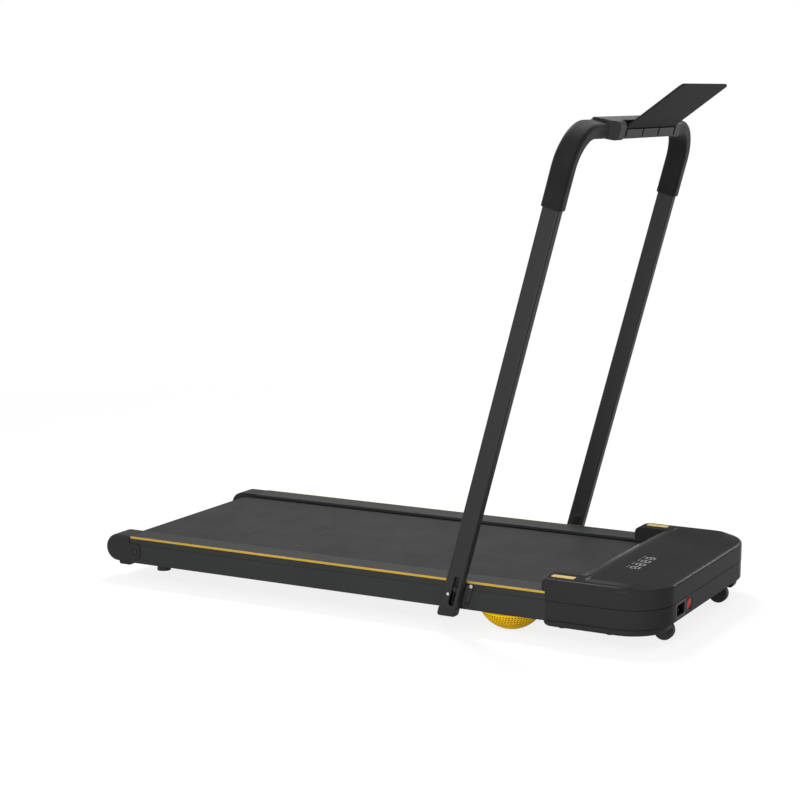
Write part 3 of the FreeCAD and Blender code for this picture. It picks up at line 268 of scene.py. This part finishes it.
def drawn_metal(name, colour, roughness, along, dull=None, **sockets):
    """Extruded or turned metal: fine lines one way, with a little uneven sheen."""
    look = Look(name, colour, roughness, **sockets)
    lines = look.noise(scale=1, detail=3, rough=0.6, place=look.stretched(along))
    rounded = look.edge_normal(FINE_EDGE)
    tone = look.toned(look.noise(scale=6, detail=3), colour, 0.94, 1.06)
    patches = look.spread(look.noise(scale=80, detail=3), 0.4, 0.7)
    worn = look.maths("MULTIPLY", look.edge_share(rounded), patches)
    look.set("Base Color", look.mix(worn, tone, shade(colour, 1.5)))
    if dull:
        look.set("Roughness", look.dusted(roughness, dull))
    else:
        look.set("Roughness", look.varied(lines, roughness - 0.06, roughness + 0.08))
    look.set("Normal", look.bump(lines, strength=0.25, distance=0.08 * MM, normal=rounded))
    return look.material


def belt_cloth():
    """Walking belt: a black rubber face pressed with a fine lattice of dots, a little dusty, with
    painted shade and highlight on the dots.
    """
    colour = srgb(41, 40, 40)
    look = Look("belt_rubber_face", colour, 0.7, Specular_IOR_Level=0.05)
    axes = look.node("SeparateXYZ", Vector=look.place)
    turns = 2 * math.pi / BELT_PITCH
    across = look.maths("SINE", look.maths("MULTIPLY", axes.outputs["X"], turns))
    along = look.maths("SINE", look.maths("MULTIPLY", axes.outputs["Y"], turns))
    dots = look.spread(look.maths("MULTIPLY", across, along), -0.5, 0.5)
    dust = look.spread(look.noise(scale=5, detail=5), 0.35, 0.7)
    # The dots are painted darker in their low parts and paler on their raised tops: painted shade
    # and painted highlight.
    base = look.mix(dots, shade(colour, 0.4), shade(colour, 1.55))
    look.set("Base Color", look.mix(look.maths("MULTIPLY", dust, 0.05), base, shade(colour, 1.25)))
    look.set("Roughness", look.varied(look.noise(scale=11, detail=4), 0.68, 0.76))
    look.set("Normal", look.bump(dots, strength=0.6, distance=0.4 * MM))
    return look.material


def foam_skin():
    """Closed-cell foam sleeve: fine pits of two sizes over a matt skin with a faint sheen, with
    painted shade in the pits.
    """
    colour = srgb(18, 18, 19)
    look = Look("foam_skin", colour, 0.72, Specular_IOR_Level=0.1, Sheen_Weight=0.05,
                Sheen_Roughness=0.5)
    voronoi = look.node("TexVoronoi", {"feature": "F1"}, Vector=look.place, Scale=900)
    cells = voronoi.outputs["Distance"]
    pits = look.noise(scale=420, detail=3)
    both = look.maths("ADD", look.maths("MULTIPLY", cells, 0.6), look.maths("MULTIPLY", pits, 0.6))
    tone = look.toned(look.noise(scale=16, detail=4), colour, 0.85, 1.2)
    # The cells are painted darker towards their pits: painted shade in the pits.
    painted_pit_shade = look.spread(cells, 0.1, 0.5, 0.35, 0)
    look.set("Base Color", look.mix(painted_pit_shade, tone, shade(colour, 0.55)))
    look.set("Roughness", look.varied(look.noise(scale=24, detail=4), 0.6, 0.8))
    look.set("Normal", look.bump(both, strength=0.45, distance=0.35 * MM))
    return look.material


def soft_rubber(name, colour, roughness, **sockets):
    """Moulded rubber: a little grimy in patches, with a fine matt bloom."""
    look = Look(name, colour, roughness, **sockets)
    grime = look.spread(look.noise(scale=28, detail=5), 0.52, 0.78)
    tone = look.toned(look.noise(scale=11, detail=3), colour, 0.92, 1.08)
    bloom = look.noise(scale=800, detail=2)
    rounded = look.edge_normal(FINE_EDGE)
    look.set("Base Color", look.mix(look.maths("MULTIPLY", grime, 0.2), tone, shade(colour, 0.7)))
    smears = look.noise(scale=40, detail=4)
    look.set("Roughness", look.varied(smears, roughness - 0.06, roughness + 0.1))
    look.set("Normal", look.bump(bloom, strength=0.4, distance=0.1 * MM, normal=rounded))
    return look.material


def wood_board():
    """Deck board: pressed wood with its fibres along the belt."""
    colour = srgb(44, 41, 38)
    look = Look("deck_board_face", colour, 0.5)
    fibre = look.noise(scale=1, detail=4, rough=0.6, place=look.stretched((30, 400, 400)))
    look.set("Base Color", look.toned(fibre, colour, 0.8, 1.3))
    look.set("Roughness", look.varied(fibre, 0.42, 0.6))
    look.set("Normal", look.bump(fibre, strength=0.3, distance=0.2 * MM))
    return look.material


def circuit():
    """Circuit board: green lacquer over tracks."""
    colour = srgb(28, 84, 52)
    look = Look("board_lacquer", colour, 0.35)
    tracks = look.node("TexBrick", Vector=look.place, Scale=60, Color1=(*shade(colour, 0.8), 1),
                       Color2=(*shade(colour, 1.15), 1), Mortar=(*shade(colour, 1.7), 1))
    hidden = look.varied(look.noise(scale=40, detail=3), 0, 0.5)
    look.set("Base Color", look.mix(hidden, tracks.outputs["Color"], colour))
    look.set("Roughness", look.varied(look.noise(scale=60, detail=2), 0.3, 0.45))
    look.set("Normal", look.bump(tracks.outputs["Fac"], strength=0.2, distance=0.1 * MM))
    return look.material


def mixed_bolts():
    """Pivot and bracket bolts: blackened steel, but the upper bracket bolt is bright zinc."""
    dark = srgb(24, 24, 25)
    bright = srgb(206, 207, 209)
    look = Look("bolt_steel", dark, 0.36, Specular_IOR_Level=0.2)
    axes = look.node("SeparateXYZ", Vector=look.place)
    ahead = look.maths("GREATER_THAN", axes.outputs["X"], BRIGHT_BOLT_AHEAD_OF)
    above = look.maths("GREATER_THAN", axes.outputs["Z"], BRIGHT_BOLT_ABOVE)
    zinc = look.maths("MULTIPLY", ahead, above)
    cloud = look.noise(scale=300, detail=3)
    black = look.toned(cloud, dark, 0.8, 1.2)
    plated = look.toned(cloud, bright, 0.85, 1)
    look.set("Base Color", look.mix(zinc, black, plated))
    look.set("Metallic", look.maths("MULTIPLY", zinc, 0.95))
    look.set("Roughness", look.varied(look.noise(scale=500, detail=3), 0.26, 0.42))
    look.set("Normal", look.bump(look.noise(scale=900, detail=2), strength=0.3, distance=0.06 * MM,
                                 normal=look.edge_normal(BOLT_EDGE)))
    return look.material


def lit_film(name, colour, glow):
    """Thin pale film that glows faintly."""
    look = Look(name, colour, 0.4, Emission_Color=(*colour, 1), Emission_Strength=glow)
    speck = look.noise(scale=600, detail=3)
    look.set("Base Color", look.toned(speck, colour, 0.82, 1))
    look.set("Roughness", look.varied(speck, 0.32, 0.5))
    look.set("Normal", look.bump(speck, strength=0.2, distance=0.03 * MM))
    return look.material


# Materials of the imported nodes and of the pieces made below
black_plastic = moulded("moulded_black", srgb(38, 38, 38), 0.42, 0.7, Specular_IOR_Level=0.07)
inlet_plastic = moulded("inlet_black", srgb(20, 20, 21), 0.4, Specular_IOR_Level=0.15)
hood_plastic = moulded("hood_black", srgb(42, 41, 42), 0.22, 0.78, grain=1100,
                       grain_depth=0.012 * MM, Specular_IOR_Level=0.014)
console_plastic = moulded("console_black", srgb(46, 45, 46), 0.42, 0.6, Specular_IOR_Level=0.06)
tablet_plastic = moulded("tablet_black", srgb(36, 35, 36), 0.62, 0.62, grain=1300,
                         Specular_IOR_Level=0.03)
window_plastic = moulded("window_smoke", srgb(38, 38, 39), 0.3, 0.72, grain=1500,
                         grain_depth=0.01 * MM, Specular_IOR_Level=0.016)
post_coat = moulded("post_powder_coat", srgb(34, 33, 34), 0.48, 0.6, grain=600,
                    grain_depth=0.14 * MM, Specular_IOR_Level=0.16)
frame_coat = moulded("frame_paint", srgb(36, 36, 37), 0.5, 0.6, grain=500, grain_depth=0.16 * MM,
                     Specular_IOR_Level=0.2)
rail_coat = drawn_metal("rail_coat", srgb(40, 41, 41), 0.38, (3, 900, 900), 0.7,
                        Specular_IOR_Level=0.08)
trim_yellow = drawn_metal("trim_yellow", srgb(162, 131, 50), 0.45, (3, 700, 700), 0.6,
                          Specular_IOR_Level=0.1)
pad_yellow = soft_rubber("pad_yellow", srgb(183, 157, 91), 0.5, Specular_IOR_Level=0.1)
dome_yellow = soft_rubber("dome_yellow", srgb(200, 158, 4), 0.5, Specular_IOR_Level=0.05)
dome_shade = soft_rubber("dome_pit_shade", srgb(66, 42, 3), 0.7, Specular_IOR_Level=0.05)
black_rubber = soft_rubber("tyre_rubber", srgb(26, 26, 27), 0.6, Specular_IOR_Level=0.25)
bright_steel = drawn_metal("bright_zinc", srgb(205, 206, 208), 0.28, (500, 60, 500), Metallic=1.0)
roller_steel = drawn_metal("roller_steel", srgb(150, 152, 154), 0.34, (700, 4, 700), Metallic=1.0)
motor_metal = drawn_metal("motor_shell", srgb(96, 97, 100), 0.4, (300, 8, 300), Metallic=0.9)
sink_metal = drawn_metal("cast_grey", srgb(140, 142, 144), 0.42, (200, 200, 10), Metallic=0.8)
switch_red = moulded("switch_red", srgb(184, 22, 28), 0.34, grain=1600,
                     grain_depth=0.04 * MM, wear=1.15, Specular_IOR_Level=0.04)
pin_brass = drawn_metal("pin_plate", srgb(128, 124, 116), 0.36, (50, 600, 600), Metallic=1.0)
bolt_steel = mixed_bolts()
belt_face = belt_cloth()
foam_face = foam_skin()
board_wood = wood_board()
board_lacquer = circuit()
figure_film = lit_film("figure_film", srgb(158, 160, 162), 0.04)

node_materials = {
    "frame_tubes": frame_coat, "frame_cross_members": frame_coat, "belly_straps": frame_coat,
    "side_rail_left": rail_coat, "side_rail_right": rail_coat, "rail_trim_strips": trim_yellow,
    "deck_board": board_wood, "deck_cushions": black_rubber, "deck_screws": frame_coat,
    "walking_belt": belt_face, "front_roller": roller_steel, "front_roller_axle": bright_steel,
    "front_roller_bearings": bright_steel, "rear_roller": roller_steel,
    "rear_roller_axle": bright_steel, "rear_roller_bearings": bright_steel,
    "belt_tension_bolts": bright_steel,
    "rear_cap_left": black_plastic, "rear_cap_right": black_plastic, "rear_cap_screws": frame_coat,
    "hood_cover": hood_plastic, "hood_pads": pad_yellow,
    "display_window": window_plastic, "display_board": board_lacquer,
    "lower_case": hood_plastic, "belly_pan": black_plastic, "belly_pan_screws": frame_coat,
    "front_base_plate": frame_coat, "motor_cradle": frame_coat, "motor_can": motor_metal,
    "motor_armature": roller_steel, "motor_pulley": sink_metal, "roller_pulley": sink_metal,
    "drive_belt": black_rubber, "control_board": board_lacquer, "board_spacers": sink_metal,
    "power_inlet": inlet_plastic, "inlet_pins": pin_brass, "switch_bezel": inlet_plastic,
    "power_switch": switch_red, "front_wheel_left": black_rubber, "front_wheel_right": black_rubber,
    "wheel_brackets": frame_coat, "wheel_axles": frame_coat, "rear_feet": black_rubber,
    "pivot_brackets": frame_coat, "pivot_bolts": bolt_steel, "pivot_blocks": inlet_plastic,
    "post_left": post_coat, "post_right": post_coat, "handlebar_bow": post_coat,
    "post_end_plugs": black_plastic, "post_rivets": bright_steel,
    "console_front_half": console_plastic, "console_rear_half": console_plastic,
    "tablet_plate": tablet_plastic,
}
for name, material in node_materials.items():
    mesh = nodes[name].data
    mesh.materials.clear()
    mesh.materials.append(material)


# Pieces made as meshes
def new_piece(name, mesh_builder, material, body, replaced=(), second=None):
    """Makes a piece from a mesh builder, on its body, and hides the nodes that it replaces."""
    built = bmesh.new()
    mesh_builder(built)
    bmesh.ops.recalc_face_normals(built, faces=built.faces)
    mesh = bpy.data.meshes.new(name)
    built.to_mesh(mesh)
    built.free()
    for face in mesh.polygons:
        face.use_smooth = True
    mesh.materials.append(material)
    if second:
        mesh.materials.append(second)
    piece = bpy.data.objects.new(name, mesh)
    bpy.context.scene.collection.objects.link(piece)
    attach(piece, body)
    if replaced:
        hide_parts(*replaced)
    return piece


def bridge_rings(built, rings, closed_ends=False):
    """Joins rings of vertices, each as long as the next, into a skin."""
    for first, second in zip(rings, rings[1:]):
        count = len(first)
        for i in range(count):
            j = (i + 1) % count
            built.faces.new((first[i], first[j], second[j], second[i]))
    if closed_ends:
        built.faces.new(rings[0])
        built.faces.new(rings[-1])


def leaned(x, y, z):
    """A point drawn along the upright tube, carried to its leaning place."""
    return Vector((POST_FOOT + x * math.cos(LEAN) + z * math.sin(LEAN), y,
                   z * math.cos(LEAN) - x * math.sin(LEAN)))


def section(grow):
    """Outline of the handrail tube, grown all round: (forward, sideways) points."""
    corner = POST_EDGE + grow
    deep = POST_DEEP / 2 + grow - corner
    wide = POST_WIDE / 2 + grow - corner
    arcs = []
    for k, (x, y) in enumerate(((deep, wide), (-deep, wide), (-deep, -wide), (deep, -wide))):
        turns = [math.pi / 2 * (k + i / CORNER_STEPS) for i in range(CORNER_STEPS + 1)]
        arcs.append([(x + corner * math.cos(turn), y + corner * math.sin(turn)) for turn in turns])
    points = []
    for arc, after in zip(arcs, arcs[1:] + arcs[:1]):
        (x, y), (next_x, next_y) = arc[-1], after[0]
        shares = [i / SIDE_STEPS for i in range(1, SIDE_STEPS)]
        points += arc + [(x + (next_x - x) * share, y + (next_y - y) * share) for share in shares]
    return points


def grip_stations():
    """Places along the grip's middle line, (sideways, up), and how far each is round the bend."""
    low = BOW_HEIGHT - BOW_BEND
    inner = POST_MIDDLE - BOW_BEND
    leg = [((POST_MIDDLE, FOAM_START + (low - FOAM_START) * i / RUN_STEPS), 0.0)
           for i in range(RUN_STEPS)]
    turns = [math.pi / 2 * i / BEND_STEPS for i in range(BEND_STEPS + 1)]
    bend = [((inner + BOW_BEND * math.cos(turn), low + BOW_BEND * math.sin(turn)), turn)
            for turn in turns]
    run = [((inner + (FOAM_END - inner) * i / RUN_STEPS, BOW_HEIGHT), math.pi / 2)
           for i in range(1, RUN_STEPS + 1)]
    return leg + bend + run


def grip_mesh(side):
    """Foam sleeve round one end of the bow, a closed skin outside and along the tube."""
    stations = grip_stations()
    lengths = [0.0]
    for (a, _), (b, _) in zip(stations, stations[1:]):
        lengths.append(lengths[-1] + math.dist(a, b))
    total = lengths[-1]
    lip_lengths = [FOAM_LIP * i / LIP_STEPS for i in range(LIP_STEPS)]

    def ring(built, station, grow):
        (y, z), turn = station
        across, up = math.cos(turn), math.sin(turn)
        return [built.verts.new(leaned(forward, side * (y + out * across), z + out * up))
                for forward, out in section(grow)]

    def grown(length):
        """The foam's thickness: rolled in at both ends, a little pressed where hands hold it."""
        end = min(length, total - length, FOAM_LIP)
        rolled = FOAM_LIP - math.sqrt(max(0.0, FOAM_LIP ** 2 - (FOAM_LIP - end) ** 2))
        waves = 0.5 + 0.5 * math.sin(length * PRESS_WAVE + PRESS_PHASE)
        return FOAM_THICK - rolled - FOAM_PRESS * math.sin(math.pi * length / total) * waves

    def build(built):
        """The outside from end to end, with finer steps round each lip, and back along the tube."""
        rings = [ring(built, stations[0], FOAM_GAP)]
        (y, z), turn = stations[0]
        rings += [ring(built, ((y, z + step), turn), grown(step)) for step in lip_lengths]
        for station, length in zip(stations, lengths):
            if FOAM_LIP < length < total - FOAM_LIP:
                rings.append(ring(built, station, grown(length)))
        (y, z), turn = stations[-1]
        rings += [ring(built, ((y + step, z), turn), grown(total - step))
                  for step in reversed(lip_lengths)]
        rings += [ring(built, station, FOAM_GAP) for station in reversed(stations[1:])]
        bridge_rings(built, rings + rings[:1])

    return build


for name, side in (("foam_grip_left", 1), ("foam_grip_right", -1)):
    grip = new_piece(name + "_sleeve", grip_mesh(side), foam_face, "handrail", (name,))


def dome_pits(radius, top_turn):
    """Rows of pits from the foot up: way up the profile, reach from the axis, count and offset."""
    rows = []
    for k in range(1, int((top_turn * radius + DOME_RIM - PIT_RADIUS) / PIT_STEP) + 1):
        reach = radius * math.sin(min(k * PIT_STEP / radius, top_turn))
        count = max(LEAST_PITS, round(2 * math.pi * reach / PIT_STEP))
        rows.append((k * PIT_STEP, reach, count, 0.5 * (k % 2)))
    return rows


def dome_mesh(side):
    """Part of a ball that stands on the floor, with a rim above it and rows of pits."""
    height = DOME_TOP - DOME_RIM
    radius = (DOME_RADIUS ** 2 + height ** 2) / (2 * height)
    top_turn = math.asin(DOME_RADIUS / radius)
    pits = dome_pits(radius, top_turn)
    centre = Vector((DOME_PLACE[0], side * DOME_PLACE[1], radius))
    swings = [2 * math.pi * i / DOME_AROUND for i in range(DOME_AROUND)]

    def sunk(way, swing):
        """How deep a pit lies at one way up the profile and one swing round the axis."""
        depth = 0.0
        for row, reach, count, offset in pits:
            if abs(row - way) > PIT_RADIUS:
                continue
            share = 2 * math.pi / count
            away = (swing / share - offset + 0.5) % 1.0 - 0.5
            gap = math.hypot(row - way, away * share * reach)
            if gap < PIT_RADIUS:
                depth = max(depth, PIT_DEPTH * (1 - (gap / PIT_RADIUS) ** 2))
        return depth

    def placed(built, swing, out, up):
        return built.verts.new(centre + Vector((out * math.cos(swing), out * math.sin(swing), up)))

    def ring(built, way):
        """The points round the dome at one way up its profile, over the ball, then up the rim."""
        turn = min(way / radius, top_turn)
        rise = max(0.0, way - top_turn * radius)
        made = []
        for swing in swings:
            sink = sunk(way, swing)
            if rise:
                out, up = DOME_RADIUS - sink, height + rise - radius
            else:
                out, up = (radius - sink) * math.sin(turn), (sink - radius) * math.cos(turn)
            made.append(placed(built, swing, out, up))
        return made

    def build(built):
        whole = top_turn * radius + DOME_RIM - DOME_EDGE
        ways = [whole * (DOME_START + (1 - DOME_START) * i / DOME_ROWS)
                for i in range(DOME_ROWS + 1)]
        rings = [ring(built, way) for way in ways]
        inset = DOME_RADIUS - DOME_EDGE
        rings.append([placed(built, swing, inset, DOME_TOP - radius) for swing in swings])
        bridge_rings(built, rings, closed_ends=True)
        low, high = (share * PIT_DEPTH for share in PIT_SHADED)
        for face in built.faces:
            away = face.calc_center_median() - centre
            on_ball = away.z < height - radius
            depth = radius - away.length if on_ball else DOME_RADIUS - math.hypot(away.x, away.y)
            if low < depth < high:
                face.material_index = 1

    return build


for name, side in (("dome_left", 1), ("dome_right", -1)):
    new_piece(name + "_pitted", dome_mesh(side), dome_yellow, "base", (name,),
              dome_shade)


# Figures on the display window, seven strokes each, and the small marks beside them
def stroke(built, start, end, thick):
    """A stroke of thin film on the hood's top, pointed at both ends, tapered upwards."""
    a, b = Vector(start), Vector(end)
    along = (b - a).normalized()
    side = Vector((-along.y, along.x)) * thick / 2
    tip = along * thick / 2
    corners = [a, a + tip + side, b - tip + side, b, b - tip - side, a + tip - side]
    middle = sum(corners, Vector((0, 0))) / len(corners)
    bottom = [built.verts.new((*corner, FILM_LOW)) for corner in corners]
    upper = [middle + (corner - middle) * FILM_TAPER for corner in corners]
    top = [built.verts.new((*corner, FILM_HIGH)) for corner in upper]
    bridge_rings(built, [bottom, top], closed_ends=True)


def figures_mesh(built):
    """The display's figures, every stroke shown."""
    for k in range(FIGURE_COUNT):
        left = FIGURE_LEFT - FIGURE_PITCH * k
        for ends in FIGURE_STROKES:
            start, end = ((FIGURE_NEAR + FIGURE_TALL * up,
                           left - FIGURE_WIDE * across - FIGURE_SLANT * FIGURE_TALL * up)
                          for across, up in ends)
            stroke(built, start, end, FIGURE_STROKE)


def marks_mesh(built):
    """Short dashes before each figure, where the display has its small words."""
    for k in range(FIGURE_COUNT):
        for place, long in MARK_DASHES:
            start = MARK_LEFT - MARK_PITCH * k - place
            stroke(built, (MARK_NEAR, start), (MARK_NEAR, start - long), MARK_STROKE)


new_piece("display_figures", figures_mesh, figure_film, "base")
new_piece("display_marks", marks_mesh, figure_film, "base")


# Stage: pale floor and white surroundings, soft lamps and the camera
def shown_ray(tree):
    """One for what the camera, a mirror or a clear surface looks at, nothing for plain light."""
    path = tree.nodes.new("ShaderNodeLightPath")
    total = path.outputs["Is Camera Ray"]
    for name in ("Is Glossy Ray", "Is Transmission Ray"):
        either = tree.nodes.new("ShaderNodeMath")
        either.operation = "MAXIMUM"
        tree.links.new(total, either.inputs[0])
        tree.links.new(path.outputs[name], either.inputs[1])
        total = either.outputs[0]
    return total


def pale_floor():
    """Floor that shows white far off and keeps some lit tone near the part, for the shadow."""
    look = Look("pale_floor", (FLOOR_TONE, FLOOR_TONE, FLOOR_TONE), 0.9, Specular_IOR_Level=0.0)
    away = look.node("VectorMath", {"operation": "LENGTH"})
    look.feed(away.inputs[0], look.place)
    fade = look.spread(away.outputs["Value"], FLOOR_NEAR, FLOOR_FAR, FLOOR_NEAR_GLOW, 1.0)
    both = look.node("MixShader")
    look.feed(both.inputs[0], look.maths("MULTIPLY", shown_ray(look.tree), fade))
    look.feed(both.inputs[1], look.shader.outputs[0])
    look.feed(both.inputs[2], look.node("Emission", Color=WHITE).outputs[0])
    look.feed(look.tree.nodes["Material Output"].inputs["Surface"], both.outputs[0])
    return look.material


def stage_floor():
    half = FLOOR_HALF
    corners = [(-half, -half, 0), (half, -half, 0), (half, half, 0), (-half, half, 0)]
    mesh = bpy.data.meshes.new("studio_floor")
    mesh.from_pydata(corners, [], [(0, 1, 2, 3)])
    mesh.materials.append(pale_floor())
    floor = bpy.data.objects.new("studio_floor", mesh)
    bpy.context.scene.collection.objects.link(floor)


def surroundings():
    """White room that looks brighter than the light it gives."""
    world = bpy.data.worlds.new("white_room")
    world.use_nodes = True
    tree = world.node_tree
    background = tree.nodes["Background"]
    background.inputs["Color"].default_value = WHITE
    level = tree.nodes.new("ShaderNodeMapRange")
    level.inputs["To Min"].default_value = ROOM_LIGHT
    level.inputs["To Max"].default_value = 1.0
    tree.links.new(shown_ray(tree), level.inputs["Value"])
    tree.links.new(level.outputs["Result"], background.inputs["Strength"])
    bpy.context.scene.world = world


def lamp(name, place, target, size, power):
    """Soft rectangular lamp, turned towards its target."""
    data = bpy.data.lights.new(name, "AREA")
    data.shape = "RECTANGLE"
    data.size, data.size_y = size
    data.energy = power
    made = bpy.data.objects.new(name, data)
    made.location = place
    made.rotation_euler = (Vector(target) - Vector(place)).to_track_quat("-Z", "Y").to_euler()
    bpy.context.scene.collection.objects.link(made)


def camera():
    data = bpy.data.cameras.new("photo_camera")
    data.lens = CAMERA_LENS
    data.sensor_width = CAMERA_SENSOR
    made = bpy.data.objects.new("photo_camera", data)
    made.location = CAMERA_PLACE
    made.rotation_euler = (CAMERA_TILT, 0, CAMERA_SWING)
    bpy.context.scene.collection.objects.link(made)
    bpy.context.scene.camera = made


stage_floor()
surroundings()
for row in LAMPS:
    lamp(*row)
camera()
bpy.context.scene.view_settings.view_transform = "Standard"
